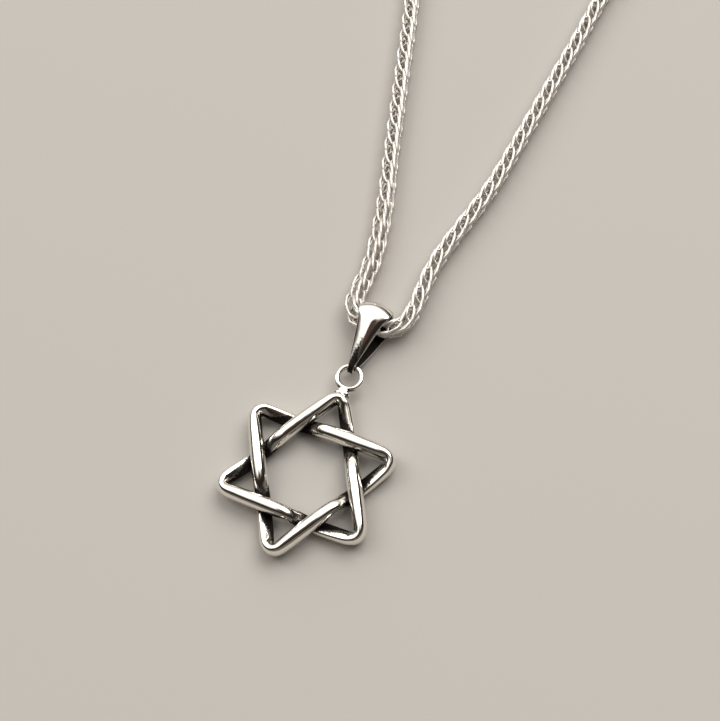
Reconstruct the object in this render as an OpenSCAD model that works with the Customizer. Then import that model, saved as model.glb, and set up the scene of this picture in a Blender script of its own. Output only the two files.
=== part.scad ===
// Star pendant with its bail, laid flat on a surface with its neck chain closed round.
// Millimetres, +Z up, +Y from the star to the clasp, origin under the middle of the whole.

/* [Star] */
// Distance between two opposite tips
star_span = 19; // [16:0.5:30]
// Width of a bar where it crosses over another
bar_w = 1.6; // [1.2:0.05:2]
// Thickness of the star at its crossings
star_t = 2.8; // [2.4:0.05:3.6]
// Bend of a bar's middle line round a tip
tip_bend = 0.85; // [0.85:0.05:1.4]

/* [Hanging ring] */
// Outer diameter of the ring soldered to the star
ring_od = 3.25; // [3:0.05:5]
// Wire of that ring
ring_wire = 0.58; // [0.4:0.02:0.7]
// Gap between the ring and the star's tip, which solder fills
neck_gap = 0.4; // [0.1:0.05:0.8]
// Width of the solder
neck_d = 1.2; // [0.7:0.05:1.4]

/* [Bail] */
// Distance from the ring's wire to the middle of the bail's fold
bail_reach = 5.5; // [5:0.1:9]
// Width of the bail at its fold
bail_w = 3.9; // [3:0.1:4.4]
// Width of the bail where it wraps the ring
bail_tip_w = 0.7; // [0.6:0.05:1]
// Thickness of the bail's sheet
bail_sheet = 0.32; // [0.25:0.01:0.4]
// Rise of the bail's front over its edges
bail_crown = 0.5; // [0.1:0.02:0.6]
// Degrees that the bail has slid round the ring, to the left
bail_slide = 7; // [0:1:10]
// Degrees that the bail then leans back to the right
bail_swing = 2; // [0:0.5:3]
// Room between the chain and the bail's fold
fold_room = 0.35; // [0.35:0.05:0.8]
// Room between the ring's wire and the bail
wrap_room = 0.2; // [0.15:0.01:0.25]

/* [Chain] */
// Thickness of the wheat chain
chain_d = 2.3; // [1.8:0.05:2.4]

/* [Clasp] */
// Length of the cap soldered to each end of the chain
cap_len = 3.5; // [2.5:0.1:6]
// Step from the chain out to the cap
cap_step = 0.3; // [0.1:0.05:0.5]
// Wire of the caps' eyes, the jump rings and the clasp's tail ring
link_wire = 0.6; // [0.5:0.05:0.65]
// Outer diameter of a cap's eye and of the clasp's tail ring
eye_od = 2.5; // [2.4:0.05:3.2]
// Outer diameter of a jump ring
jump_od = 3.7; // [3.6:0.05:4.6]
// Outer diameter of the round clasp
clasp_od = 6.4; // [6:0.1:9]
// Tube of the round clasp
clasp_tube = 1.3; // [1.1:0.05:1.4]
// Diameter of the clasp's thumb knob
knob_d = 0.9; // [0.6:0.05:1.1]
// Rise of the knob over the clasp's tube
knob_rise = 0.5; // [0.3:0.05:0.8]
// Room between rings that hang in each other
link_room = 0.1; // [0.05:0.01:0.15]

/* [Hidden] */
$fn = 48;

// Star. A triangle is one bar swept round three tips. Going left round the star, each bar rides
// over the first bar that it meets and dives under the second.
SECTION_SIDES = 12;
SHARE = 0;
WIDTH = 1;
UNDER = 2;
TOP = 3;
LEAN = 4;
// Along a bar: share of its length, its width as a share of bar_w, its underside and top as shares
// of star_t, and its lean, the share of its roundness that is lost on its inner side
BAR = [
    [0.110, 0.92, 0.20, 0.96, 0.0],
    [0.200, 1.00, 0.30, 1.00, 0.0],
    [0.333, 1.00, 0.36, 1.00, 0.0],
    [0.450, 1.00, 0.32, 0.99, 0.0],
    [0.525, 0.98, 0.22, 0.90, 0.2],
    [0.580, 0.96, 0.08, 0.68, 0.6],
    [0.667, 0.96, 0.00, 0.56, 0.9],
    [0.760, 0.97, 0.00, 0.64, 1.0],
    [0.850, 0.96, 0.03, 0.80, 0.9],
    [0.900, 0.92, 0.07, 0.86, 0.7],
];
// Round a tip: turn from the middle of the tip in degrees, then the same shares
TIP = [
    [-60, 0.86, 0.10, 0.88, 0.5],
    [-30, 0.83, 0.12, 0.88, 0.3],
    [0, 0.83, 0.13, 0.88, 0.1],
    [30, 0.86, 0.15, 0.91, 0.0],
    [60, 0.89, 0.17, 0.94, 0.0],
];
TIP_MIDDLE = TIP[2];
star_r = star_span / 2;
corner_r = star_r - TIP_MIDDLE[WIDTH] * bar_w / 2 + tip_bend;

// Hanging ring, in the star's plane past the tip that points to the clasp
ring_r = (ring_od - ring_wire) / 2;
ring_y = star_r + neck_gap + ring_od / 2;
ring_z = (TIP_MIDDLE[UNDER] + TIP_MIDDLE[TOP]) / 2 * star_t;

// Bail: a closed band of sheet round two circles, a small one at the ring's wire and a large one
// at the chain. It is drawn along Y from the small circle, and then slid and swung to its place.
wrap_r = ring_wire / 2 + wrap_room + bail_sheet / 2;
wrap_x = -ring_r * sin(bail_slide);
wrap_y = ring_y + ring_r * cos(bail_slide);
fold_r = chain_d / 2 + fold_room + bail_sheet / 2;
fold_y = wrap_y + bail_reach * cos(bail_swing);
fold_z = fold_r + bail_sheet / 2;
// Slope of the line between the circles, and turn from it to where the straight leaves touch them
bail_slope = atan2(fold_z - ring_z, bail_reach);
leaf_turn = acos((wrap_r - fold_r) / norm([bail_reach, fold_z - ring_z]));
WRAP_STEPS = 6;
LEAF_STEPS = 6;
FOLD_STEPS = 12;
LEAF_POINTS = 7;
// Share of the bail's width left at the outermost part of its fold
FOLD_NARROW = 0.8;
// Outward angle where the bail starts to narrow towards its leaves, and the shares of its width
// left where its front and back leaves meet the fold
FOLD_WIDEST = 50;
FRONT_SHARE = 0.72;
BACK_SHARE = 0.92;
// Outward angle where the crown of the front has run out
CROWN_END = -40;
// Power of its share of the way along a leaf that widens the front and the back one
FRONT_FLARE = 1.05;
BACK_FLARE = 0.8;

// Chain. Its height over the surface is that of a chain that rests on it, plus a lift.
chain_r = chain_d / 2;
CHAIN_SIDES = 8;
SPAN_RINGS = 2;

// Clasp set: its pieces hang in each other along one line, at the height of the jump rings' middle
link_z = jump_od / 2;
jump_r = (jump_od - link_wire) / 2;
jump_id = jump_od - 2 * link_wire;
eye_r = (eye_od - link_wire) / 2;
clasp_r = (clasp_od - clasp_tube) / 2;
cap_od = chain_d + 2 * cap_step;
// Depth that an eye is sunk into the point of its cap
eye_sink = link_wire / 3;

// Room along X that one jump ring gives two wires that hang in it, from middle to middle
function jump_pitch(wire_a, wire_b) = jump_id - (wire_a + wire_b) / 2 - 2 * link_room;

// Places along X, from the chain's left end
left_eye_x = cap_len - eye_sink + eye_r;
left_jump_x = left_eye_x + eye_r - link_wire / 2 - link_room + jump_id / 2;
tail_x = left_eye_x + 2 * eye_r + jump_pitch(link_wire, link_wire);
clasp_x = tail_x + eye_r + clasp_tube / 2 + clasp_r;
right_jump_x = clasp_x + clasp_r - clasp_tube / 2 - link_room + jump_id / 2;
right_eye_x = clasp_x + clasp_r + jump_pitch(clasp_tube, link_wire) + eye_r;
clasp_set = right_eye_x + eye_r - eye_sink + cap_len;

// Route of the chain's middle line, down its left side to the bail and up its right side. Across
// and along from the middle of the bail's fold, and the lift off the surface
ROUTE = [
    [-28.0, 175.5, 0.20], [-40.0, 168.0, 0.00], [-49.0, 157.0, 0.00], [-54.0, 144.0, 0.00],
    [-54.5, 130.0, 0.00], [-51.0, 116.0, 0.00], [-44.5, 103.0, 0.00], [-36.5, 91.0, 0.00],
    [-28.5, 79.0, 0.00], [-21.5, 67.0, 0.00], [-16.3, 54.5, 0.00], [-12.4, 42.0, 0.00],
    [-9.6, 32.0, 0.00], [-6.8, 22.0, 0.00], [-4.5, 14.0, 0.00], [-3.2, 7.5, 0.05],
    [-3.1, 3.6, 0.25], [-2.9, 1.2, 0.50], [-1.7, -0.3, 0.64], [0.0, -0.5, 0.65],
    [1.7, -0.3, 0.64], [3.1, 1.0, 0.50], [3.5, 3.3, 0.25], [3.6, 10.0, 0.00],
    [5.9, 20.5, 0.00], [7.1, 30.5, 0.00], [8.4, 42.5, 0.00], [9.8, 55.0, 0.00],
    [13.5, 68.0, 0.00], [20.0, 80.5, 0.00], [28.0, 92.5, 0.00], [36.0, 104.5, 0.00],
    [42.5, 117.5, 0.00], [46.0, 131.5, 0.00], [45.5, 145.5, 0.00], [40.5, 158.5, 0.00],
    [31.5, 169.0, 0.00], [19.5, 176.0, 0.20],
];
// Middle of the clasp set, from the middle of the bail's fold
CLASP_AT = [-4, 177.6];
set_left = CLASP_AT.x - clasp_set / 2;
set_y = fold_y + CLASP_AT.y;
chain_points = concat(
    [[set_left, set_y, link_z]],
    [for (p = ROUTE) [p.x, fold_y + p.y, chain_r + p.z]],
    [[set_left + clasp_set, set_y, link_z]]
);

// Skin through rings of points, from ring to ring, either closed on itself or with flat ends
function skin_faces(rings, sides, closed) = concat(
    [for (i = [0 : rings - (closed ? 1 : 2)], j = [0 : sides - 1])
        let (a = i * sides + j,
             b = i * sides + (j + 1) % sides,
             c = ((i + 1) % rings) * sides + (j + 1) % sides,
             d = ((i + 1) % rings) * sides + j)
        each [[a, b, c], [a, c, d]]],
    closed ? [] : [[for (j = [sides - 1 : -1 : 0]) j],
                   [for (j = [0 : sides - 1]) (rings - 1) * sides + j]]
);
module skin(rings, closed) {
    polyhedron([for (ring = rings) each ring], skin_faces(len(rings), len(rings[0]), closed),
               convexity = 8);
}
module ring(radius, wire) {
    rotate_extrude() translate([radius, 0]) circle(d = wire);
}

// Stations of the star: middle of the section, direction of its outer side, width, underside, top,
// lean
function station(middle, outwards, row) =
    [middle, outwards, row[WIDTH] * bar_w, row[UNDER] * star_t, row[TOP] * star_t, row[LEAN]];
function polar(radius, angle) = radius * [cos(angle), sin(angle)];
function tip_station(angle, row) =
    station(polar(corner_r - 2 * tip_bend, angle) + polar(tip_bend, angle + row[SHARE]),
            angle + row[SHARE], row);
function bar_station(angle, row) =
    station((1 - row[SHARE]) * polar(corner_r, angle) + row[SHARE] * polar(corner_r, angle + 120),
            angle + 60, row);
function triangle(first) = [
    for (angle = [first, first + 120, first + 240])
        each concat([for (row = TIP) tip_station(angle, row)], [for (row = BAR) bar_station(angle, row)])
];
function bar_section(s) = [
    for (side = [0 : SECTION_SIDES - 1])
        let (a = 360 * side / SECTION_SIDES,
             across = s[0] + polar(s[2] / 2 * cos(a), s[1]),
             lost = a < 180 ? s[5] * (1 - cos(a)) / 2 : 0)
        [across.x, across.y, (s[4] + s[3]) / 2 + (s[4] - s[3]) / 2 * sin(a) * (1 - lost)]
];
module star() {
    color("silver") {
        for (first = [90, 30]) skin([for (s = triangle(first)) bar_section(s)], true);
        translate([0, ring_y, ring_z]) ring(ring_r, ring_wire);
        translate([0, star_r - bar_w / 2, ring_z])
            rotate([-90, 0, 0]) cylinder(d = neck_d, h = bar_w / 2 + neck_gap + ring_wire / 2);
    }
}

// Stations of the bail: middle in Y and Z, outward angle, width, rise of its middle. Y is 0 at the
// ring's wire.
function bail_station(circle_y, circle_z, radius, angle, width, rise) =
    [[circle_y, circle_z] + polar(radius, angle), angle, width, rise];
front_turn = bail_slope + leaf_turn;
back_turn = bail_slope - leaf_turn;
function wrap_part() = [
    for (i = [0 : WRAP_STEPS])
        let (u = i / WRAP_STEPS)
        bail_station(0, ring_z, wrap_r, (1 - u) * (back_turn + 360) + u * front_turn, bail_tip_w, 0)
];
function leaf_part(turn, end_w, flare, rise, outwards) = [
    for (i = [1 : LEAF_STEPS - 1])
        let (share = outwards ? i / LEAF_STEPS : 1 - i / LEAF_STEPS,
             from = [0, ring_z] + polar(wrap_r, turn),
             to = [bail_reach, fold_z] + polar(fold_r, turn))
        [(1 - share) * from + share * to, turn, bail_tip_w + pow(share, flare) * (end_w - bail_tip_w),
         rise * sin(90 * share)]
];
function fold_w(angle) =
    let (turn = angle > FOLD_WIDEST ? front_turn : back_turn,
         share = angle > FOLD_WIDEST ? FRONT_SHARE : BACK_SHARE)
    bail_w * (1 - (1 - share) * pow((angle - FOLD_WIDEST) / (turn - FOLD_WIDEST), 2))
        * (1 - (1 - FOLD_NARROW) * pow(max(0, cos(angle)), 2));
function crown_at(angle) =
    bail_crown * cos(90 * pow(min(1, (front_turn - angle) / (front_turn - CROWN_END)), 2));
function fold_part() = [
    for (i = [0 : FOLD_STEPS])
        let (u = i / FOLD_STEPS,
             angle = (1 - u) * front_turn + u * back_turn)
        bail_station(bail_reach, fold_z, fold_r, angle, fold_w(angle), crown_at(angle))
];
function bail_section(s) = [
    for (side = [1, -1], k = [0 : LEAF_POINTS - 1])
        let (across = side * (1 - 2 * k / (LEAF_POINTS - 1)),
             middle = s[0] + polar(s[3] * (1 - across * across) + side * bail_sheet / 2, s[1]))
        [across * s[2] / 2, middle.x, middle.y]
];
module bail() {
    front = leaf_part(front_turn, bail_w * FRONT_SHARE, FRONT_FLARE, bail_crown, true);
    back = leaf_part(back_turn, bail_w * BACK_SHARE, BACK_FLARE, 0, false);
    color("silver")
        translate([wrap_x, wrap_y, 0]) rotate([0, 0, -bail_swing])
            skin([for (s = concat(wrap_part(), front, fold_part(), back)) bail_section(s)], true);
}

// The chain's middle line runs smoothly through its points, and leaves both ends along X
function ghost(end, next) = [2 * end.x - next.x, next.y, next.z];
chain_last = len(chain_points) - 1;
guided = concat([ghost(chain_points[0], chain_points[1])], chain_points,
                [ghost(chain_points[chain_last], chain_points[chain_last - 1])]);
function curve_at(a, b, c, d, t) =
    (2 * b + (c - a) * t + (2 * a - 5 * b + 4 * c - d) * t * t + (3 * b - a - 3 * c + d) * t * t * t) / 2;
function curve_way(a, b, c, d, t) =
    (c - a) / 2 + (2 * a - 5 * b + 4 * c - d) * t + (3 * b - a - 3 * c + d) * t * t * 3 / 2;
// No part of it is lower than where it rests
function laid(p) = [p.x, p.y, max(p.z, chain_r)];
function unit(v) = v / norm(v);
function tube_ring(middle, way) =
    let (across = unit(cross(way, [0, 0, 1])),
         up = unit(cross(across, way)),
         corner = chain_r / cos(180 / CHAIN_SIDES))
    [for (side = [0 : CHAIN_SIDES - 1])
        let (a = 360 * (side + 0.5) / CHAIN_SIDES)
        middle + corner * (cos(a) * across + sin(a) * up)];
chain_rings = [
    for (i = [1 : chain_last], k = [0 : SPAN_RINGS - (i == chain_last ? 0 : 1)])
        let (t = k / SPAN_RINGS, a = guided[i - 1], b = guided[i], c = guided[i + 1], d = guided[i + 2])
        tube_ring(laid(curve_at(a, b, c, d, t)), curve_way(a, b, c, d, t))
];
module chain() {
    color("gainsboro") skin(chain_rings, false);
}

// A cap and its eye, with the chain's end at x = 0 and its eye towards +X
module cap() {
    color("silver") {
        rotate([0, 90, 0]) rotate_extrude()
            polygon(concat([[0, 0], [cap_od / 2, 0]],
                           [for (a = [0 : 15 : 90])
                               [cap_od / 2 * cos(a), cap_len - cap_od / 2 + cap_od / 2 * sin(a)]]));
        translate([left_eye_x, 0, 0]) ring(eye_r, link_wire);
    }
}
module cap_left() {
    translate([set_left, set_y, link_z]) cap();
}
module cap_right() {
    translate([set_left + clasp_set, set_y, link_z]) rotate([0, 0, 180]) cap();
}
module jump_ring(x) {
    color("silver") translate([set_left + x, set_y, link_z]) rotate([90, 0, 0]) ring(jump_r, link_wire);
}
// Round clasp with its tail ring and the knob that a thumb draws back
module clasp() {
    color("silver") {
        translate([set_left + tail_x, set_y, link_z]) ring(eye_r, link_wire);
        translate([set_left + clasp_x, set_y, link_z]) {
            ring(clasp_r, clasp_tube);
            translate([0, clasp_r, 0]) cylinder(d = knob_d, h = clasp_tube / 2 + knob_rise);
        }
    }
}

// Middle of the whole, seen from above
box_x = [min([for (ring = chain_rings, p = ring) p.x]), max([for (ring = chain_rings, p = ring) p.x])];
box_y = [-star_r, set_y + clasp_od / 2];
translate([-(box_x[0] + box_x[1]) / 2, -(box_y[0] + box_y[1]) / 2, 0]) {
    star();
    bail();
    chain();
    cap_left();
    cap_right();
    jump_ring(left_jump_x);  // jump_ring_left
    jump_ring(right_jump_x);  // jump_ring_right
    clasp();
}
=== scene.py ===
"""Looks of a silver star pendant on its wheat chain, laid flat on a pale surface.

The star is two interlaced triangles of silver bar, each polished where it rides over the other and
left dark where it dives under. A folded bail of thin sheet holds it on a chain of woven wire links.
Sizes are in millimetres and are turned to metres once, where a mesh is finished.
"""
import logging
import math
from dataclasses import dataclass
from enum import Enum
from typing import Callable, NamedTuple

import bmesh
import bpy
from mathutils import Matrix, Vector
from mathutils.bvhtree import BVHTree


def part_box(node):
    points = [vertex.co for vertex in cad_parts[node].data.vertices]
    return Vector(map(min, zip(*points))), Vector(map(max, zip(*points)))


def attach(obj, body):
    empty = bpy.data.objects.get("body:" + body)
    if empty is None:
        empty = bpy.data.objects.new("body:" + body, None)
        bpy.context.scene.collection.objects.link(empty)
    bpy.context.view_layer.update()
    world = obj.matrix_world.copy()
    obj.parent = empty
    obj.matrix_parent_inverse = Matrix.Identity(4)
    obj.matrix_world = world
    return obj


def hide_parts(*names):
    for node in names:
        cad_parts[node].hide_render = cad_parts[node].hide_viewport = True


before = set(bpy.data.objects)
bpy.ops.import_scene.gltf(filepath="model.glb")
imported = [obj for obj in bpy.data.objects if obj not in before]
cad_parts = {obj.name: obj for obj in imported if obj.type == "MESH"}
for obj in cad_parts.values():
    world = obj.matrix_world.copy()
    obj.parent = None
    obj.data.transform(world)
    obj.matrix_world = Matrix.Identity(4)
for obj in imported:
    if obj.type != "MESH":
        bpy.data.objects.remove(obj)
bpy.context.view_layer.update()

MM = 0.001
# Nearer than this, in millimetres, is the same place
SAME_PLACE = 1e-4
# A turn under this, in radians, is no turn
NO_TURN = 1e-6
BODY = "root"
X_AXIS = Vector((1, 0, 0))
Y_AXIS = Vector((0, 1, 0))
Z_AXIS = Vector((0, 0, 1))
log = logging.getLogger("star_pendant")


def linear_colour(hex_colour: str) -> tuple[float, float, float, float]:
    """Turns an sRGB hex colour into the linear colour that a shader takes.

    Args:
        hex_colour: Six hex digits, such as "c8c4be".

    Returns:
        Red, green, blue and alpha, each from 0 to 1.
    """
    parts = [int(hex_colour[i:i + 2], 16) / 255 for i in (0, 2, 4)]
    linear = [p / 12.92 if p <= 0.04045 else ((p + 0.055) / 1.055) ** 2.4 for p in parts]
    return linear[0], linear[1], linear[2], 1.0


def polar(radius: float, degrees: float) -> Vector:
    """A point of the plane at that radius and angle, with z at 0."""
    return Vector((radius * math.cos(math.radians(degrees)), radius * math.sin(math.radians(degrees)), 0))


def take(*pieces: bpy.types.Object) -> None:
    """Selects some pieces and nothing else.

    Args:
        pieces: The pieces, of which the first becomes the active one.
    """
    bpy.ops.object.select_all(action="DESELECT")
    for piece in pieces:
        piece.select_set(True)
    bpy.context.view_layer.objects.active = pieces[0]


class Shaping:
    """A piece in edit mode, whose vertices are picked in code and shaped by operators."""

    def __init__(self, piece: bpy.types.Object) -> None:
        """Keeps the piece that is to be shaped."""
        self.piece = piece

    def __enter__(self) -> "Shaping":
        """Opens the piece in edit mode.

        Returns:
            The shaping itself.
        """
        take(self.piece)
        bpy.ops.object.mode_set(mode="EDIT")
        bpy.ops.mesh.select_mode(type="VERT")
        return self

    def __exit__(self, *_: object) -> None:
        """Closes edit mode."""
        bpy.ops.object.mode_set(mode="OBJECT")

    def pick(self, wanted: Callable[[bmesh.types.BMVert], bool]) -> None:
        """Selects some vertices and nothing else.

        Args:
            wanted: Says whether a vertex is to be selected.
        """
        mesh = bmesh.from_edit_mesh(self.piece.data)
        for vertex in mesh.verts:
            vertex.select = wanted(vertex)
        mesh.select_flush(True)
        mesh.select_flush(False)

    def pick_run(self, first: int, count: int) -> None:
        """Selects a run of vertices by their numbers."""
        self.pick(lambda vertex: first <= vertex.index < first + count)

    def pick_all(self) -> None:
        """Selects every vertex."""
        self.pick(lambda vertex: True)

    def move(self, by: Vector) -> None:
        """Moves what is picked."""
        bpy.ops.transform.translate(value=by)

    def stretch(self, factors: tuple[float, float, float]) -> None:
        """Scales what is picked about the origin."""
        bpy.ops.transform.resize(value=factors, center_override=(0, 0, 0))

    def turn(self, angle: float, axis: str) -> None:
        """Turns what is picked about a line through the origin.

        Args:
            angle: Turn in radians, anticlockwise as seen against the axis.
            axis: "X", "Y" or "Z".
        """
        # With no window the operator turns the other way
        bpy.ops.transform.rotate(value=-angle, orient_axis=axis, center_override=(0, 0, 0))

    def place_ring(
        self, ring: int, torus: "Torus", pose: Matrix, width: float = 1, height: float = 1, lean: float = 0
    ) -> None:
        """Takes one ring of a torus to its place along a bent bar.

        Args:
            ring: Number of the ring round the torus.
            torus: The torus as it was added.
            pose: The ring's place: X is its outer side, Y the bar's way and Z its upper side.
            width: Width of the bar as a share of the torus's wire.
            height: Height of the bar as a share of the torus's wire.
            lean: Share of the upper side's roundness that is lost on the inner side.
        """
        first = ring * torus.sides
        self.pick_run(first, torus.sides)
        self.turn(-math.tau * ring / torus.rings, "Z")
        self.move(-torus.radius * X_AXIS)
        self.stretch((width, 1, height))
        if lean > 0:
            for side in range(1, torus.sides // 2):
                across = math.cos(math.tau * side / torus.sides)
                self.pick_run(first + side, 1)
                self.stretch((1, 1, 1 - lean * (1 - across) / 2))
            self.pick_run(first, torus.sides)
        for angle, axis in zip(pose.to_euler("XYZ"), "XYZ"):
            if abs(angle) > NO_TURN:
                self.turn(angle, axis)
        self.move(pose.translation)


@dataclass(frozen=True)
class Torus:
    """A torus primitive that is bent into a bar or a link."""

    rings: int
    sides: int
    radius: float
    wire: float

    def add(self, name: str) -> bpy.types.Object:
        """Adds the torus round the origin.

        Args:
            name: Name of the piece that it becomes.

        Returns:
            The torus, flat in the plane of X and Y.
        """
        bpy.ops.object.select_all(action="DESELECT")
        bpy.ops.mesh.primitive_torus_add(
            major_segments=self.rings, minor_segments=self.sides,
            major_radius=self.radius, minor_radius=self.wire / 2,
        )
        piece = bpy.context.object
        piece.name = name
        return piece


def pose_along(middle: Vector, way: Vector, side: Vector) -> Matrix:
    """Finds the place of a ring from the way of its bar and its outer side.

    Args:
        middle: Middle of the ring.
        way: Way that the bar runs.
        side: A way towards the outer side, not along the bar.

    Returns:
        A matrix with X to the outer side, Y along the bar and Z to the upper side.
    """
    along = way.normalized()
    outer = (side - side.dot(along) * along).normalized()
    upper = outer.cross(along)
    turned = Matrix((outer, along, upper)).transposed().to_4x4()
    turned.translation = middle
    return turned


def finish_with(piece: bpy.types.Object, kind: str, **settings: object) -> None:
    """Adds a modifier with its settings and applies it.

    Args:
        piece: The piece that is finished.
        kind: Blender's name for the modifier's type.
        settings: The modifier's settings by name.
    """
    take(piece)
    bpy.ops.object.modifier_add(type=kind)
    modifier = piece.modifiers[-1]
    for name, value in settings.items():
        setattr(modifier, name, value)
    bpy.ops.object.modifier_apply(modifier=modifier.name)


def smoothed(piece: bpy.types.Object, levels: int) -> None:
    """Rounds a piece by subdivision surface."""
    finish_with(piece, "SUBSURF", levels=levels, render_levels=levels)


def settle(piece: bpy.types.Object, shift: Vector) -> None:
    """Turns a piece to metres and gives its mesh its place in the frame.

    Args:
        piece: A piece modelled in millimetres, round the middle of the star.
        shift: Place of the middle of the star in the frame, in metres.
    """
    take(piece)
    piece.scale = (MM, MM, MM)
    piece.location = shift
    bpy.ops.object.transform_apply(location=True, rotation=True, scale=True)
    bpy.ops.object.shade_smooth()


def dress(piece: bpy.types.Object, material: bpy.types.Material) -> None:
    """Gives a piece its one material."""
    piece.data.materials.clear()
    piece.data.materials.append(material)


def add_node(
    tree: bpy.types.NodeTree, kind: str, inputs: dict[str | int, object] | None = None, **settings: object
) -> bpy.types.Node:
    """Adds a node with its settings, values and links.

    Args:
        tree: The node tree that it goes into.
        kind: Blender's name for the node's type.
        inputs: A value or an output to link, by the name or number of the input.
        settings: The node's own settings by name.

    Returns:
        The new node.
    """
    node = tree.nodes.new(kind)
    for name, value in settings.items():
        setattr(node, name, value)
    for name, value in (inputs or {}).items():
        if isinstance(value, bpy.types.NodeSocket):
            tree.links.new(value, node.inputs[name])
        else:
            node.inputs[name].default_value = value
    return node


def new_material(name: str) -> tuple[bpy.types.Material, bpy.types.NodeTree]:
    """Makes an empty material.

    Args:
        name: Name of the material.

    Returns:
        The material and its node tree.
    """
    material = bpy.data.materials.new(name)
    material.use_nodes = True
    material.node_tree.nodes.clear()
    return material, material.node_tree


# How far each vertex is recessed, and on the bail also where shade and a dark reflection are painted
RECESS = "recess"


@dataclass(frozen=True)
class CastSilver:
    """Sterling silver, cast, blackened with liver of sulphur and polished back.

    The wheel reaches the tops of the bars, which are bright as a mirror with fine hairlines. The
    sulphur's black and the skin of the casting stay in the recesses. On the bail the same black also
    paints shade inside the fold and a dark reflection near the ring.
    """

    name: str = "cast_sterling_silver"
    polished: str = "f2eee6"
    # The black of sulphur in the recesses, which on the bail also paints shade and a dark reflection
    sulphide_and_shade: str = "2b2725"
    polish_roughness: float = 0.09
    recess_roughness: float = 0.42
    # How recessed metal is where the black of sulphur, and on the bail painted shade, starts and is full,
    # and what the grain adds to it
    sulphide_and_shade_from: float = 0.40
    sulphide_and_shade_full: float = 0.62
    grain_share: float = 0.5
    # Hairlines on polished metal and grain on recessed metal: size, depth and strength
    hairline_mm: float = 0.25
    casting_grain_mm: float = 0.18
    depth_mm: float = 0.05
    hairline_bump: float = 0.04
    grain_bump: float = 0.5
    # The slow waves that a hand leaves in a bar: size, depth and strength
    hand_wave_mm: float = 1.8
    hand_wave_depth_mm: float = 0.11
    hand_wave_bump: float = 0.5

    def material(self) -> bpy.types.Material:
        """Makes the material, which reads how recessed a point is from the mesh.

        Returns:
            The material.
        """
        material, tree = new_material(self.name)
        recess = add_node(tree, "ShaderNodeAttribute", attribute_name=RECESS)
        place = add_node(tree, "ShaderNodeTexCoord")
        grain, hairlines, hand_wave = (
            add_node(
                tree, "ShaderNodeTexNoise",
                {"Vector": place.outputs["Object"], "Scale": 1 / (size * MM), "Detail": detail},
            )
            for size, detail in (
                (self.casting_grain_mm, 3.0), (self.hairline_mm, 2.0), (self.hand_wave_mm, 1.0),
            )
        )
        spread = add_node(
            tree, "ShaderNodeMath",
            {0: grain.outputs["Fac"], 1: self.grain_share, 2: recess.outputs["Fac"]},
            operation="MULTIPLY_ADD",
        )
        dark = add_node(
            tree, "ShaderNodeMapRange",
            {"Value": spread.outputs[0], "From Min": self.sulphide_and_shade_from, "From Max": self.sulphide_and_shade_full},
            interpolation_type="SMOOTHSTEP",
        )
        colour = add_node(
            tree, "ShaderNodeMix",
            {0: dark.outputs[0], 6: linear_colour(self.polished), 7: linear_colour(self.sulphide_and_shade)},
            data_type="RGBA",
        )
        roughness = add_node(
            tree, "ShaderNodeMapRange",
            {"Value": dark.outputs[0], "To Min": self.polish_roughness, "To Max": self.recess_roughness},
        )
        height = add_node(
            tree, "ShaderNodeMix",
            {0: dark.outputs[0], 2: hairlines.outputs["Fac"], 3: grain.outputs["Fac"]},
        )
        depth = add_node(
            tree, "ShaderNodeMapRange",
            {"Value": dark.outputs[0], "To Min": self.hairline_bump, "To Max": self.grain_bump},
        )
        bump = add_node(
            tree, "ShaderNodeBump",
            {"Strength": depth.outputs[0], "Distance": self.depth_mm * MM, "Height": height.outputs[0]},
        )
        waved = add_node(
            tree, "ShaderNodeBump",
            {
                "Strength": self.hand_wave_bump,
                "Distance": self.hand_wave_depth_mm * MM,
                "Height": hand_wave.outputs["Fac"],
                "Normal": bump.outputs[0],
            },
        )
        shader = add_node(
            tree, "ShaderNodeBsdfPrincipled",
            {
                "Base Color": colour.outputs[2],
                "Metallic": 1.0,
                "Roughness": roughness.outputs[0],
                "Normal": waved.outputs[0],
            },
        )
        add_node(tree, "ShaderNodeOutputMaterial", {"Surface": shader.outputs[0]})
        return material


@dataclass(frozen=True)
class DrawnSilver:
    """Sterling silver wire, drawn, woven and tumbled bright.

    Tumbling leaves the wire white and a little soft, with small dents that break up its shine.
    """

    name: str = "tumbled_sterling_wire"
    bright: str = "f5f1eb"
    worn: str = "d3cdc4"
    roughness: float = 0.46
    # Shares of that roughness on bright and on worn wire
    bright_share: float = 0.7
    worn_share: float = 1.5
    # Dents: size, depth and strength
    dent_mm: float = 0.35
    dent_depth_mm: float = 0.05
    dent_bump: float = 0.12

    def material(self) -> bpy.types.Material:
        """Makes the material.

        Returns:
            The material.
        """
        material, tree = new_material(self.name)
        place = add_node(tree, "ShaderNodeTexCoord")
        dents = add_node(
            tree, "ShaderNodeTexNoise",
            {"Vector": place.outputs["Object"], "Scale": 1 / (self.dent_mm * MM), "Detail": 2.0},
        )
        colour = add_node(
            tree, "ShaderNodeMix",
            {0: dents.outputs["Fac"], 6: linear_colour(self.bright), 7: linear_colour(self.worn)},
            data_type="RGBA",
        )
        roughness = add_node(
            tree, "ShaderNodeMapRange",
            {
                "Value": dents.outputs["Fac"],
                "To Min": self.roughness * self.bright_share,
                "To Max": self.roughness * self.worn_share,
            },
        )
        bump = add_node(
            tree, "ShaderNodeBump",
            {
                "Strength": self.dent_bump,
                "Distance": self.dent_depth_mm * MM,
                "Height": dents.outputs["Fac"],
            },
        )
        shader = add_node(
            tree, "ShaderNodeBsdfPrincipled",
            {
                "Base Color": colour.outputs[2],
                "Metallic": 1.0,
                "Roughness": roughness.outputs[0],
                "Normal": bump.outputs[0],
            },
        )
        add_node(tree, "ShaderNodeOutputMaterial", {"Surface": shader.outputs[0]})
        return material


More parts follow.
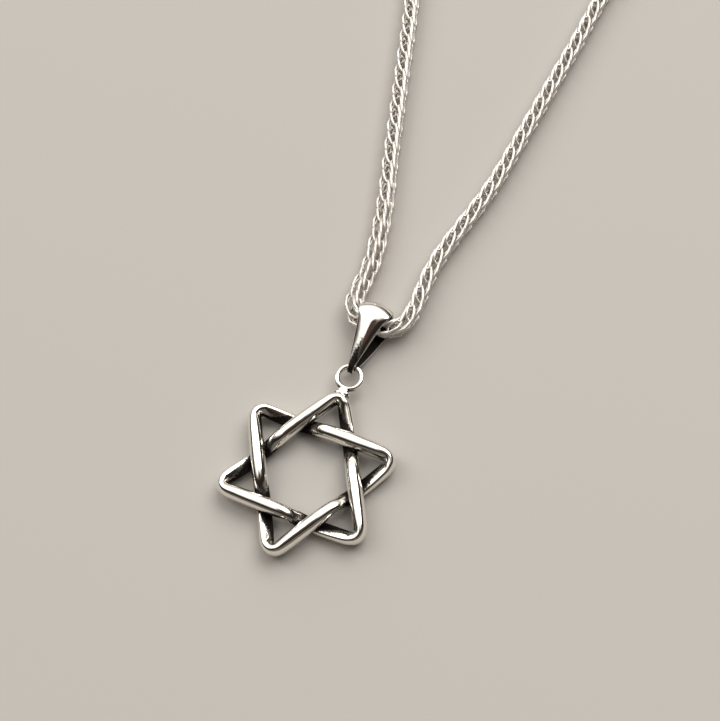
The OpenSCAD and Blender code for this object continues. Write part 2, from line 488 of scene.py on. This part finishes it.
@dataclass(frozen=True)
class PolishingWheel:
    """A wheel that can't reach a place with metal close above it, which rays find."""

    # How far off metal still keeps the wheel away, in millimetres
    reach: float
    # Lean of each cone of rays off the normal in degrees, and its number of rays
    cones: tuple[tuple[float, int], ...] = ((25, 4), (50, 7), (72, 9))
    # How far over the surface a ray starts, in millimetres
    lift: float = 0.02
    # How much less metal at the end of that reach counts than metal close by
    fade: float = 0.6

    def recess(self, tree: BVHTree, place: Vector, normal: Vector) -> float:
        """Measures how recessed a place is.

        Args:
            tree: Faces of the piece.
            place: A place on the piece, in metres.
            normal: Its surface's normal.

        Returns:
            A share from 0 in the open to 1 in a pit.
        """
        across = normal.orthogonal().normalized()
        other = normal.cross(across)
        start = place + normal * self.lift * MM
        reach = self.reach * MM
        met = 0.0
        for lean, count in self.cones:
            flat = math.sin(math.radians(lean))
            rise = math.cos(math.radians(lean))
            for step in range(count):
                angle = math.tau * (step + 0.5) / count
                way = rise * normal + flat * (math.cos(angle) * across + math.sin(angle) * other)
                distance = tree.ray_cast(start, way, reach)[3]
                if distance is not None:
                    met += 1 - self.fade * distance / reach
        return met / sum(count for lean, count in self.cones)

    def mark(self, piece: bpy.types.Object, darkening: Callable[[Vector, Vector], float]) -> None:
        """Stores on each vertex how recessed it is.

        Args:
            piece: A finished piece, in metres.
            darkening: What a place and its normal add.
        """
        mesh = piece.data
        tree = BVHTree.FromPolygons([v.co for v in mesh.vertices], [p.vertices for p in mesh.polygons])
        values = []
        for vertex in mesh.vertices:
            value = self.recess(tree, vertex.co, vertex.normal) + darkening(vertex.co, vertex.normal)
            values.append(min(1.0, value))
        mesh.attributes.new(RECESS, "FLOAT", "POINT").data.foreach_set("value", values)


class Section(NamedTuple):
    """One section of a bar of the star.

    Its width is a share of the bar's and its underside and top are shares of the star's thickness.
    Lean is the share of its roundness that is lost on its inner side.
    """

    place: float
    width: float
    under: float
    top: float
    lean: float


@dataclass
class Star:
    """Two interlaced triangles of bar, with the ring that they hang from."""

    span: float = 19.0
    bar_width: float = 1.6
    thickness: float = 2.8
    tip_bend: float = 0.85
    ring_outer: float = 3.25
    ring_wire: float = 0.58
    neck_gap: float = 0.4
    neck_width: float = 1.2
    sides: int = 12
    # Their places are shares of the way along a bar
    bar: tuple[Section, ...] = (
        Section(0.110, 0.92, 0.20, 0.96, 0.0),
        Section(0.200, 1.00, 0.30, 1.00, 0.0),
        Section(0.333, 1.00, 0.36, 1.00, 0.0),
        Section(0.450, 1.00, 0.32, 0.99, 0.0),
        Section(0.525, 0.98, 0.22, 0.90, 0.2),
        Section(0.580, 0.96, 0.08, 0.68, 0.6),
        Section(0.667, 0.96, 0.00, 0.56, 0.9),
        Section(0.760, 0.97, 0.00, 0.64, 1.0),
        Section(0.850, 0.96, 0.03, 0.80, 0.9),
        Section(0.900, 0.92, 0.07, 0.86, 0.7),
    )
    # Their places are degrees round a tip from its middle
    tip: tuple[Section, ...] = (
        Section(-60, 0.86, 0.10, 0.88, 0.5),
        Section(-30, 0.83, 0.12, 0.88, 0.3),
        Section(0, 0.83, 0.13, 0.88, 0.1),
        Section(30, 0.86, 0.15, 0.91, 0.0),
        Section(60, 0.89, 0.17, 0.94, 0.0),
    )
    # The ring's wire is modelled this much fuller, which its subdivision takes away again
    ring_fuller: float = 1.07
    # How much higher solder makes the ring's wire, past a share of its radius towards the star
    ring_solder: float = 1.18
    ring_solder_from: float = 0.75
    # Shape of the drop of solder, and of its half by the ring, as shares of a ball
    drop: tuple[float, float, float] = (1.55, 1.5, 0.85)
    drop_taper: tuple[float, float, float] = (0.8, 0.85, 0.85)
    # Tarnish of the low inner slopes: how much, the height where it has run out, and over what height
    tarnish_most: float = 0.55
    tarnish_top: float = 0.64
    tarnish_run: float = 0.2
    wheel: PolishingWheel = PolishingWheel(reach=2.2)

    @property
    def radius(self) -> float:
        """Distance from the middle of the star to a tip."""
        return self.span / 2

    @property
    def tip_middle(self) -> Section:
        """Section at the middle of a tip."""
        return self.tip[len(self.tip) // 2]

    @property
    def corner(self) -> float:
        """Distance from the middle to where two straight bars' middle lines would meet."""
        return self.radius - self.tip_middle.width * self.bar_width / 2 + self.tip_bend

    @property
    def ring_middle(self) -> Vector:
        """Middle of the hanging ring."""
        height = (self.tip_middle.under + self.tip_middle.top) / 2 * self.thickness
        return Vector((0, self.radius + self.neck_gap + self.ring_outer / 2, height))

    @property
    def ring_radius(self) -> float:
        """Radius of the middle line of the hanging ring's wire."""
        return (self.ring_outer - self.ring_wire) / 2

    def middle_in_frame(self) -> Vector:
        """Place of the middle of the star in the frame, in metres."""
        low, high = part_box("star")
        return Vector(((low.x + high.x) / 2, low.y + self.radius * MM, 0))

    def stations(self, first: float) -> list[tuple[Vector, float, Section]]:
        """Lists the sections of one triangle in order.

        Args:
            first: Angle of the triangle's first tip, in degrees.

        Returns:
            Middle, outer angle in degrees and section of each station.
        """
        found = []
        for angle in (first, first + 120, first + 240):
            hub = polar(self.corner - 2 * self.tip_bend, angle)
            for section in self.tip:
                outer = angle + section.place
                found.append((hub + polar(self.tip_bend, outer), outer, section))
            for section in self.bar:
                middle = polar(self.corner, angle).lerp(polar(self.corner, angle + 120), section.place)
                found.append((middle, angle + 60, section))
        return found

    def triangle(self, name: str, first: float) -> bpy.types.Object:
        """Bends a torus into one triangle of bar.

        Args:
            name: Name of the piece.
            first: Angle of the triangle's first tip, in degrees.

        Returns:
            The triangle in millimetres.
        """
        stations = self.stations(first)
        torus = Torus(rings=len(stations), sides=self.sides, radius=self.radius, wire=1.0)
        piece = torus.add(name)
        # Subdivision draws a round section in by this share, which the sections make good
        drawn_in = (2 + math.cos(math.tau / self.sides)) / 3
        with Shaping(piece) as shaping:
            for number, (middle, outer, section) in enumerate(stations):
                side = polar(1, outer)
                height = (section.top - section.under) * self.thickness
                middle = middle + Z_AXIS * (section.top + section.under) / 2 * self.thickness
                pose = pose_along(middle, Z_AXIS.cross(side), side)
                shaping.place_ring(
                    number, torus, pose,
                    section.width * self.bar_width / drawn_in, height / drawn_in, section.lean,
                )
        smoothed(piece, levels=2)
        return piece

    def hanging_ring(self) -> bpy.types.Object:
        """Makes the ring of round wire, thicker where solder holds it.

        Returns:
            The ring in millimetres.
        """
        torus = Torus(rings=32, sides=10, radius=self.ring_radius, wire=self.ring_wire * self.ring_fuller)
        piece = torus.add("hanging_ring")
        with Shaping(piece) as shaping:
            shaping.pick(lambda vertex: vertex.co.y < -self.ring_radius * self.ring_solder_from)
            shaping.stretch((1.0, 1.0, self.ring_solder))
            shaping.pick_all()
            shaping.move(self.ring_middle)
        smoothed(piece, levels=1)
        return piece

    def solder(self) -> bpy.types.Object:
        """Makes the drop of solder between the star's tip and the ring.

        Returns:
            The drop in millimetres.
        """
        bpy.ops.object.select_all(action="DESELECT")
        bpy.ops.mesh.primitive_uv_sphere_add(segments=28, ring_count=14, radius=self.neck_width / 2)
        piece = bpy.context.object
        piece.name = "solder"
        with Shaping(piece) as shaping:
            shaping.pick_all()
            shaping.stretch(self.drop)
            shaping.pick(lambda vertex: vertex.co.y > 0)
            shaping.stretch(self.drop_taper)
            shaping.pick_all()
            shaping.move(Vector((0, self.radius + self.neck_gap / 2, self.ring_middle.z)))
        return piece

    def darkening(self, place: Vector, normal: Vector) -> float:
        """What a low slope that faces the middle of the star keeps of its tarnish.

        Args:
            place: A place on the star from its middle, in metres.
            normal: Its surface's normal.

        Returns:
            What it adds to the recess.
        """
        inward = max(0.0, -normal.dot(Vector((place.x, place.y, 0)).normalized()))
        below = self.tarnish_top - place.z / (self.thickness * MM)
        return self.tarnish_most * inward * min(1.0, max(0.0, below / self.tarnish_run))

    def build(self) -> bpy.types.Object:
        """Builds the star as one soldered piece of silver.

        Returns:
            The finished star.
        """
        star = self.triangle("star_of_bars", 90)
        for part in (self.triangle("second_triangle", 30), self.hanging_ring(), self.solder()):
            finish_with(star, "BOOLEAN", operation="UNION", solver="EXACT", object=part)
            bpy.data.objects.remove(part)
        middle = self.middle_in_frame()
        settle(star, middle)
        self.wheel.mark(star, lambda place, normal: self.darkening(place - middle, normal))
        dress(star, CastSilver().material())
        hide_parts("star")
        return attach(star, BODY)


@dataclass(frozen=True)
class Leaf:
    """One leaf of the bail: its turn, its share of the bail's width, its flare and its crown."""

    turn: float
    share: float
    flare: float
    crown: float


class Row(NamedTuple):
    """One row across the bail's strip: its middle, outward angle, width and crown."""

    middle: Vector
    angle: float
    width: float
    crown: float


@dataclass
class Bail:
    """A leaf of sheet folded over the chain and closed round the star's ring."""

    star: Star
    reach: float = 5.5
    width: float = 3.9
    tip_width: float = 0.7
    sheet: float = 0.32
    crown: float = 0.5
    slide_degrees: float = 7
    swing_degrees: float = 2
    fold_room: float = 0.35
    wrap_room: float = 0.2
    chain: float = 2.3
    fold_narrow: float = 0.8
    fold_widest_degrees: float = 50
    crown_end_degrees: float = -40
    wrap_steps: int = 6
    leaf_steps: int = 6
    fold_steps: int = 12
    columns: int = 6
    # Round of the sheet's edges, as a share of its thickness
    edge_round: float = 0.22
    # Painted dark reflection on the front leaf, darker towards the ring: how much, where along it has run
    # out, and how fast the sides lose it
    tip_dark_reflection: float = 0.62
    tip_dark_reflection_end: float = 0.8
    side_fade: float = 1.5
    # Tarnish and painted shade inside on the back leaf: how much, and how fast slopes lose it
    inner_tarnish_and_shade: float = 0.6
    slope_fade: float = 4.0
    wheel: PolishingWheel = PolishingWheel(reach=3.0)

    def __post_init__(self) -> None:
        """Works out the two leaves from the circles that they touch."""
        between = self.fold_circle - self.wrap_circle
        slope = math.atan2(between.z, between.y)
        turn = math.acos((self.wrap_radius - self.fold_radius) / between.length)
        self.front = Leaf(turn=slope + turn, share=0.72, flare=1.05, crown=self.crown)
        self.back = Leaf(turn=slope - turn, share=0.92, flare=0.8, crown=0.0)

    @property
    def wrap_radius(self) -> float:
        """Radius of the turn round the star's ring, at the middle of the sheet."""
        return self.star.ring_wire / 2 + self.wrap_room + self.sheet / 2

    @property
    def fold_radius(self) -> float:
        """Radius of the fold over the chain, at the middle of the sheet."""
        return self.chain / 2 + self.fold_room + self.sheet / 2

    @property
    def wrap_circle(self) -> Vector:
        """Middle of the turn round the ring, before the bail is slid to its place."""
        return Vector((0, 0, self.star.ring_middle.z))

    @property
    def fold_circle(self) -> Vector:
        """Middle of the fold, before the bail is slid to its place."""
        return Vector((0, self.reach, self.fold_radius + self.sheet / 2))

    @property
    def place(self) -> Vector:
        """Where the bail's turn lies on the star's ring."""
        slide = math.radians(self.slide_degrees)
        radius = self.star.ring_radius
        return Vector((-radius * math.sin(slide), self.star.ring_middle.y + radius * math.cos(slide), 0))

    @property
    def fold_along(self) -> float:
        """How far along the middle of the fold lies, which the chain's route is measured from."""
        return self.place.y + self.reach * math.cos(math.radians(self.swing_degrees))

    def at(self, centre: Vector, radius: float, angle: float) -> Vector:
        """A point of the strip's middle line on a circle."""
        return centre + radius * Vector((0, math.cos(angle), math.sin(angle)))

    def leaf_row(self, leaf: Leaf, share: float) -> Row:
        """Finds one row of a straight leaf.

        Args:
            leaf: The front or the back leaf.
            share: How far it is from the ring to the fold.

        Returns:
            The row.
        """
        near = self.at(self.wrap_circle, self.wrap_radius, leaf.turn)
        far = self.at(self.fold_circle, self.fold_radius, leaf.turn)
        width = self.tip_width + share ** leaf.flare * (self.width * leaf.share - self.tip_width)
        return Row(near.lerp(far, share), leaf.turn, width, leaf.crown * math.sin(math.pi / 2 * share))

    def fold_row(self, angle: float) -> Row:
        """Finds one row of the fold.

        Args:
            angle: The row's outward angle, in radians.

        Returns:
            The row.
        """
        widest = math.radians(self.fold_widest_degrees)
        leaf = self.front if angle > widest else self.back
        width = self.width * (1 - (1 - leaf.share) * ((angle - widest) / (leaf.turn - widest)) ** 2)
        width *= 1 - (1 - self.fold_narrow) * max(0.0, math.cos(angle)) ** 2
        crown_end = math.radians(self.crown_end_degrees)
        spent = min(1.0, (self.front.turn - angle) / (self.front.turn - crown_end))
        crown = self.crown * math.cos(math.pi / 2 * spent ** 2)
        return Row(self.at(self.fold_circle, self.fold_radius, angle), angle, width, crown)

    def rows(self) -> list[Row]:
        """Lists the rows of the strip: round the ring, up the front, over the fold, down the back.

        Returns:
            The rows in order.
        """
        found = []
        for step in range(self.wrap_steps + 1):
            share = step / self.wrap_steps
            angle = (1 - share) * (self.back.turn + math.tau) + share * self.front.turn
            found.append(Row(self.at(self.wrap_circle, self.wrap_radius, angle), angle, self.tip_width, 0.0))
        for step in range(1, self.leaf_steps):
            found.append(self.leaf_row(self.front, step / self.leaf_steps))
        for step in range(self.fold_steps + 1):
            share = step / self.fold_steps
            found.append(self.fold_row((1 - share) * self.front.turn + share * self.back.turn))
        for step in range(self.leaf_steps - 1, 0, -1):
            found.append(self.leaf_row(self.back, step / self.leaf_steps))
        return found

    def darkening(self, place: Vector, normal: Vector) -> float:
        """Painted dark reflection on the front leaf near the ring, and tarnish with painted shade inside on
        the back one.

        Args:
            place: A place on the bail from its turn round the ring, in metres.
            normal: Its surface's normal.

        Returns:
            What it adds to the recess.
        """
        share = min(1.0, max(0.0, place.y / (self.reach * MM)))
        # Painted dark reflection: the front leaf darkens towards the ring, less on its sloping sides
        front = max(0.0, 1 - share / self.tip_dark_reflection_end) * max(0.0, 1 - self.side_fade * abs(normal.x))
        # Tarnish and painted shade on low, upward-facing metal inside the fold
        low = max(0.0, 1 - place.z / (self.fold_radius * MM))
        inside = low * max(0.0, 1 - self.slope_fade * (1 - normal.z))
        return self.tip_dark_reflection * front + self.inner_tarnish_and_shade * inside

    def folded(self) -> bpy.types.Object:
        """Folds a flat grid into the closed strip, still without thickness.

        Returns:
            The strip in millimetres.
        """
        rows = self.rows()
        bpy.ops.object.select_all(action="DESELECT")
        bpy.ops.mesh.primitive_grid_add(x_subdivisions=self.columns, y_subdivisions=len(rows) - 1, size=1)
        piece = bpy.context.object
        piece.name = "folded_bail"
        row_length = self.columns + 1
        with Shaping(piece) as shaping:
            for column in range(1, self.columns // 2 + 1):
                across = 1 - 2 * column / self.columns
                shaping.pick(lambda vertex: abs(abs(vertex.co.x) - across / 2) < SAME_PLACE)
                shaping.move(Z_AXIS * (1 - across * across))
            for number, row in enumerate(rows):
                shaping.pick_run(number * row_length, row_length)
                shaping.move(Y_AXIS * (0.5 - number / (len(rows) - 1)))
                shaping.stretch((row.width, 1, row.crown))
                shaping.turn(row.angle - math.pi / 2, "X")
                shaping.move(row.middle)
            last = (len(rows) - 1) * row_length
            shaping.pick(lambda vertex: vertex.index < row_length or vertex.index >= last)
            bpy.ops.mesh.select_mode(type="EDGE")
            bpy.ops.mesh.bridge_edge_loops()
            bpy.ops.mesh.select_all(action="SELECT")
            bpy.ops.mesh.normals_make_consistent(inside=False)
            shaping.turn(-math.radians(self.swing_degrees), "Z")
            shaping.move(self.place)
        return piece

    def build(self) -> bpy.types.Object:
        """Builds the bail from one strip of sheet.

        Returns:
            The finished bail.
        """
        piece = self.folded()
        finish_with(piece, "SOLIDIFY", thickness=self.sheet, offset=0.0)
        finish_with(piece, "BEVEL", width=self.sheet * self.edge_round, segments=2, limit_method="ANGLE")
        smoothed(piece, levels=2)
        middle = self.star.middle_in_frame()
        foot = middle + self.place * MM
        settle(piece, middle)
        # On the bail the rays also darken the inside of the fold, which is tarnish and partly painted shade
        self.wheel.mark(piece, lambda place, normal: self.darkening(place - foot, normal))
        dress(piece, CastSilver(name="folded_sterling_sheet").material())
        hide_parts("bail")
        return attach(piece, BODY)


@dataclass
class WheatChain:
    """A wheat chain: folded wire links, each through the two loops of the one before it.

    Links turned by a right angle alternate with them, so that four rows of loops run along it.
    """

    star: Star
    bail: Bail
    thickness: float = 2.3
    wire: float = 0.39
    pitch: float = 2.6
    sides: int = 5
    # Radius of the ring of wire that a link is folded from
    ring_radius: float = 2.0
    # A quarter of a link: along, out and aside, from its fold to its round end
    quarter: tuple[tuple[float, float, float], ...] = (
        (0.05, 0.36, 0.12),
        (0.80, 0.60, 0.46),
        (1.90, 0.70, 0.46),
        (2.75, 0.50, 0.34),
    )
    # Slope along and aside by which a link's two loops are twisted, each the other way
    slant: float = 0.8
    twist: float = 0.3
    # Roll of the chain in degrees at some points of its middle line, by their number
    rolls: tuple[tuple[int, float], ...] = (
        (0, 8.0), (14, 12.0), (16, 40.0), (17, 40.0), (22, 3.0), (39, 3.0),
    )
    # Steps of the guiding curve from point to point
    guide_steps: int = 24
    # Points of the chain's middle line: across and along from the bail's fold, and lift
    route: tuple[tuple[float, float, float], ...] = (
        (-28.0, 175.5, 0.20), (-40.0, 168.0, 0.00), (-49.0, 157.0, 0.00), (-54.0, 144.0, 0.00),
        (-54.5, 130.0, 0.00), (-51.0, 116.0, 0.00), (-44.5, 103.0, 0.00), (-36.5, 91.0, 0.00),
        (-28.5, 79.0, 0.00), (-21.5, 67.0, 0.00), (-16.3, 54.5, 0.00), (-12.4, 42.0, 0.00),
        (-9.6, 32.0, 0.00), (-6.8, 22.0, 0.00), (-4.5, 14.0, 0.00), (-3.2, 7.5, 0.05),
        (-3.1, 3.6, 0.25), (-2.9, 1.2, 0.50), (-1.7, -0.3, 0.64), (0.0, -0.5, 0.65),
        (1.7, -0.3, 0.64), (3.1, 1.0, 0.50), (3.5, 3.3, 0.25), (3.6, 10.0, 0.00),
        (5.9, 20.5, 0.00), (7.1, 30.5, 0.00), (8.4, 42.5, 0.00), (9.8, 55.0, 0.00),
        (13.5, 68.0, 0.00), (20.0, 80.5, 0.00), (28.0, 92.5, 0.00), (36.0, 104.5, 0.00),
        (42.5, 117.5, 0.00), (46.0, 131.5, 0.00), (45.5, 145.5, 0.00), (40.5, 158.5, 0.00),
        (31.5, 169.0, 0.00), (19.5, 176.0, 0.20),
    )

    def points(self) -> list[Vector]:
        """Lists the points of the chain's middle line, from its left cap to its right one.

        Returns:
            The points in millimetres from the middle of the star.
        """
        shift = self.star.middle_in_frame()
        radius = self.thickness / 2
        found = [Vector((x, self.bail.fold_along + y, radius + z)) for x, y, z in self.route]
        ends = []
        for cap, side in (("cap_left", 0), ("cap_right", 1)):
            low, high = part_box(cap)
            end = Vector(((low.x, high.x)[side], (low.y + high.y) / 2, (low.z + high.z) / 2))
            ends.append((end - shift) / MM)
        return [ends[0], *found, ends[1]]

    def guide(self) -> bpy.types.Object:
        """Makes the smooth curve that the links are laid along.

        Returns:
            The curve, which passes through the points and leaves both caps along X.
        """
        points = self.points()
        first, second, before, last = points[0], points[1], points[-2], points[-1]
        ghost = [Vector((2 * first.x - second.x, second.y, second.z)), *points,
                 Vector((2 * last.x - before.x, before.y, before.z))]
        curve = bpy.data.curves.new("chain_guide", "CURVE")
        curve.dimensions = "3D"
        curve.twist_mode = "Z_UP"
        curve.resolution_u = self.guide_steps
        spline = curve.splines.new("BEZIER")
        spline.bezier_points.add(len(points) - 1)
        for (start, from_roll), (end, to_roll) in zip(self.rolls, self.rolls[1:]):
            for number in range(start, end + 1):
                share = (number - start) / (end - start)
                spline.bezier_points[number].tilt = math.radians((1 - share) * from_roll + share * to_roll)
        for number, (knot, point) in enumerate(zip(spline.bezier_points, points)):
            # The slope at a point is half the step between its neighbours, and a handle a third of it
            way = (ghost[number + 2] - ghost[number]) / 6
            knot.co = point
            knot.handle_left_type = "FREE"
            knot.handle_right_type = "FREE"
            for side, name in ((-1, "handle_left"), (1, "handle_right")):
                handle = point + side * way
                handle.z = max(handle.z, self.thickness / 2)
                setattr(knot, name, handle)
        guide = bpy.data.objects.new("chain_guide", curve)
        bpy.context.scene.collection.objects.link(guide)
        return guide

    def quarter_at(self, out: int, aside: int) -> list[Vector]:
        """Takes the quarter of a link to one of its four places.

        Args:
            out: 1 for the upper loop, -1 for the lower one.
            aside: 1 for the loop's one side, -1 for the other.

        Returns:
            Middles of the wire from the fold to the round end.
        """
        return [
            Vector((
                x + self.slant * out * aside * z,
                out * y,
                aside * z - out * self.twist * (x - self.pitch / 2),
            ))
            for x, y, z in self.quarter
        ]

    def link(self) -> bpy.types.Object:
        """Folds one ring of wire into a link that lies along X.

        Returns:
            The link in millimetres.
        """
        middles = [
            *self.quarter_at(1, 1), *reversed(self.quarter_at(1, -1)),
            *self.quarter_at(-1, -1), *reversed(self.quarter_at(-1, 1)),
        ]
        torus = Torus(rings=len(middles), sides=self.sides, radius=self.ring_radius, wire=self.wire)
        piece = torus.add("wheat_chain")
        centre = X_AXIS * self.quarter[-1][0] / 2
        with Shaping(piece) as shaping:
            for number, middle in enumerate(middles):
                way = middles[(number + 1) % len(middles)] - middles[number - 1]
                shaping.place_ring(number, torus, pose_along(middle, way, middle - centre))
            shaping.pick_all()
            bpy.ops.mesh.normals_make_consistent(inside=False)
        return piece

    def build(self) -> bpy.types.Object:
        """Builds the whole chain of links along its route.

        Returns:
            The finished chain.
        """
        guide = self.guide()
        length = sum(spline.calc_length() for spline in guide.data.splines)
        pairs = round(length / self.pitch)
        pitch = length / pairs
        piece = self.link()
        take(piece)
        bpy.ops.object.duplicate()
        turned = bpy.context.object
        with Shaping(turned) as shaping:
            shaping.pick_all()
            shaping.turn(math.pi / 2, "X")
            shaping.move(X_AXIS * pitch / 2)
        take(piece, turned)
        bpy.ops.object.join()
        finish_with(
            piece, "ARRAY", count=pairs, use_relative_offset=False, use_constant_offset=True,
            constant_offset_displace=(pitch, 0, 0),
        )
        finish_with(piece, "CURVE", object=guide, deform_axis="POS_X")
        bpy.data.objects.remove(guide)
        settle(piece, self.star.middle_in_frame())
        log.info("the chain is %.1f mm long and has %d links", length, 2 * pairs)
        dress(piece, DrawnSilver().material())
        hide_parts("chain")
        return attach(piece, BODY)


class Fitting(Enum):
    """The plain fittings that close the chain."""

    CAP_LEFT = "cap_left"
    CAP_RIGHT = "cap_right"
    JUMP_RING_LEFT = "jump_ring_left"
    JUMP_RING_RIGHT = "jump_ring_right"
    CLASP = "clasp"


@dataclass
class Fittings:
    """The caps, jump rings and clasp at the back of the neck."""

    finish: DrawnSilver = DrawnSilver(name="polished_sterling_fittings", roughness=0.14, dent_mm=0.8)

    def dress(self) -> list[bpy.types.Object]:
        """Gives each fitting its finish.

        Returns:
            The fittings.
        """
        material = self.finish.material()
        dressed = []
        for fitting in Fitting:
            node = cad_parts[fitting.value]
            dress(node, material)
            dressed.append(node)
        return dressed


@dataclass(frozen=True)
class Softbox:
    """A soft oval light: the way to it from the star, its distance, its sides and its watts."""

    name: str
    towards: tuple[float, float, float]
    distance: float
    sides: tuple[float, float]
    watts: float


@dataclass
class Studio:
    """The camera, the room, and in metres the pale floor and the soft lights."""

    star: Star
    # The photograph's viewpoint, in millimetres from the middle of the star
    eye: tuple[float, float, float] = (29.08, -30.56, 120.17)
    aim: tuple[float, float, float] = (-0.056, 14.307, 0.0)
    roll_degrees: float = 24.3
    lens_mm: float = 60.0
    sensor_mm: float = 36.0
    nearest_seen: float = 0.01
    floor_colour: str = "b5b0a9"
    floor_roughness: float = 0.9
    floor_size: float = 3.0
    # Slope of the room's brightness, which is brighter away from the camera
    brighter: tuple[float, float, float] = (-0.38, 0.50, 1.0)
    # Tones of the room up that slope
    tones: tuple[tuple[float, str], ...] = (
        (0.0, "5e5a55"), (0.12, "1c1917"), (0.52, "29241f"), (0.70, "8f8b86"), (0.82, "f2efeb"),
        (1.0, "fffdfa"),
    )
    room_strength: float = 1.4
    # The dark spot behind the camera, and the cosines where it starts and is full
    spot_colour: str = "43342e"
    spot_from: float = 0.95
    spot_full: float = 0.98
    softboxes: tuple[Softbox, ...] = (
        Softbox("key_softbox", (0.25, 0.75, 1.0), 0.9, (0.9, 0.6), 4.8),
        Softbox("side_softbox", (-0.9, 0.1, 0.9), 1.0, (0.3, 0.7), 1.8),
    )

    def camera(self) -> bpy.types.Object:
        """Adds the camera where the photograph was taken from.

        Returns:
            The camera.
        """
        shift = self.star.middle_in_frame()
        ahead = (Vector(self.aim) - Vector(self.eye)).normalized()
        level = ahead.cross(Y_AXIS).normalized()
        above = level.cross(ahead)
        roll = math.radians(self.roll_degrees)
        right = math.cos(roll) * level + math.sin(roll) * above
        up = math.cos(roll) * above - math.sin(roll) * level
        bpy.ops.object.camera_add()
        camera = bpy.context.object
        camera.name = "photo_camera"
        pose = Matrix((right, up, -ahead)).transposed().to_4x4()
        pose.translation = Vector(self.eye) * MM + shift
        camera.matrix_world = pose
        camera.data.lens = self.lens_mm
        camera.data.sensor_width = self.sensor_mm
        camera.data.sensor_fit = "HORIZONTAL"
        camera.data.clip_start = self.nearest_seen
        bpy.context.scene.camera = camera
        return camera

    def floor(self) -> bpy.types.Object:
        """Lays the plain pale floor.

        Returns:
            The floor.
        """
        bpy.ops.object.select_all(action="DESELECT")
        bpy.ops.mesh.primitive_plane_add(size=self.floor_size)
        floor = bpy.context.object
        floor.name = "floor"
        material, tree = new_material("matt_paper_floor")
        shader = add_node(
            tree, "ShaderNodeBsdfPrincipled",
            {"Base Color": linear_colour(self.floor_colour), "Roughness": self.floor_roughness},
        )
        add_node(tree, "ShaderNodeOutputMaterial", {"Surface": shader.outputs[0]})
        dress(floor, material)
        return floor

    def hang(self, softbox: Softbox) -> bpy.types.Object:
        """Hangs a softbox so that it faces the star.

        Args:
            softbox: The softbox.

        Returns:
            The light.
        """
        middle = self.star.middle_in_frame()
        place = middle + Vector(softbox.towards).normalized() * softbox.distance
        bpy.ops.object.light_add(type="AREA", location=place)
        light = bpy.context.object
        light.name = softbox.name
        light.rotation_euler = (middle - place).to_track_quat("-Z", "Y").to_euler()
        light.data.shape = "ELLIPSE"
        light.data.size, light.data.size_y = softbox.sides
        light.data.energy = softbox.watts
        return light

    def room(self) -> None:
        """Surrounds all with a room that is dark low down and behind the camera."""
        world = bpy.data.worlds.new("studio")
        bpy.context.scene.world = world
        world.use_nodes = True
        tree = world.node_tree
        tree.nodes.clear()
        way = add_node(tree, "ShaderNodeTexCoord")
        rise, facing = (
            add_node(
                tree, "ShaderNodeVectorMath", {0: way.outputs["Generated"], 1: side},
                operation="DOT_PRODUCT",
            )
            for side in (self.brighter, Vector(self.eye).normalized())
        )
        tone = add_node(tree, "ShaderNodeValToRGB", {0: rise.outputs["Value"]})
        steps = tone.color_ramp.elements
        for position, colour in self.tones[1:-1]:
            steps.new(position)
        for step, (position, colour) in zip(steps, self.tones):
            step.color = linear_colour(colour)
        behind_camera = add_node(
            tree, "ShaderNodeMapRange",
            {"Value": facing.outputs["Value"], "From Min": self.spot_from, "From Max": self.spot_full},
            interpolation_type="SMOOTHSTEP",
        )
        seen = add_node(
            tree, "ShaderNodeMix",
            {0: behind_camera.outputs[0], 6: tone.outputs[0], 7: linear_colour(self.spot_colour)},
            data_type="RGBA",
        )
        background = add_node(
            tree, "ShaderNodeBackground", {"Color": seen.outputs[2], "Strength": self.room_strength}
        )
        add_node(tree, "ShaderNodeOutputWorld", {"Surface": background.outputs[0]})

    def set_up(self) -> None:
        """Sets up the floor, the room and the lights."""
        bpy.context.scene.view_settings.view_transform = "Standard"
        self.floor()
        self.room()
        for softbox in self.softboxes:
            self.hang(softbox)


def main() -> None:
    """Builds the pieces in order and reports each of them."""
    logging.basicConfig(level=logging.INFO, format="%(name)s: %(message)s")
    star = Star()
    bail = Bail(star)
    studio = Studio(star)
    studio.camera()
    for build in (WheatChain(star, bail).build, star.build, bail.build):
        piece = build()
        log.info("built %s with %d faces", piece.name, len(piece.data.polygons))
    for piece in Fittings().dress():
        log.info("dressed %s", piece.name)
    studio.set_up()


if __name__ == "__main__":
    main()
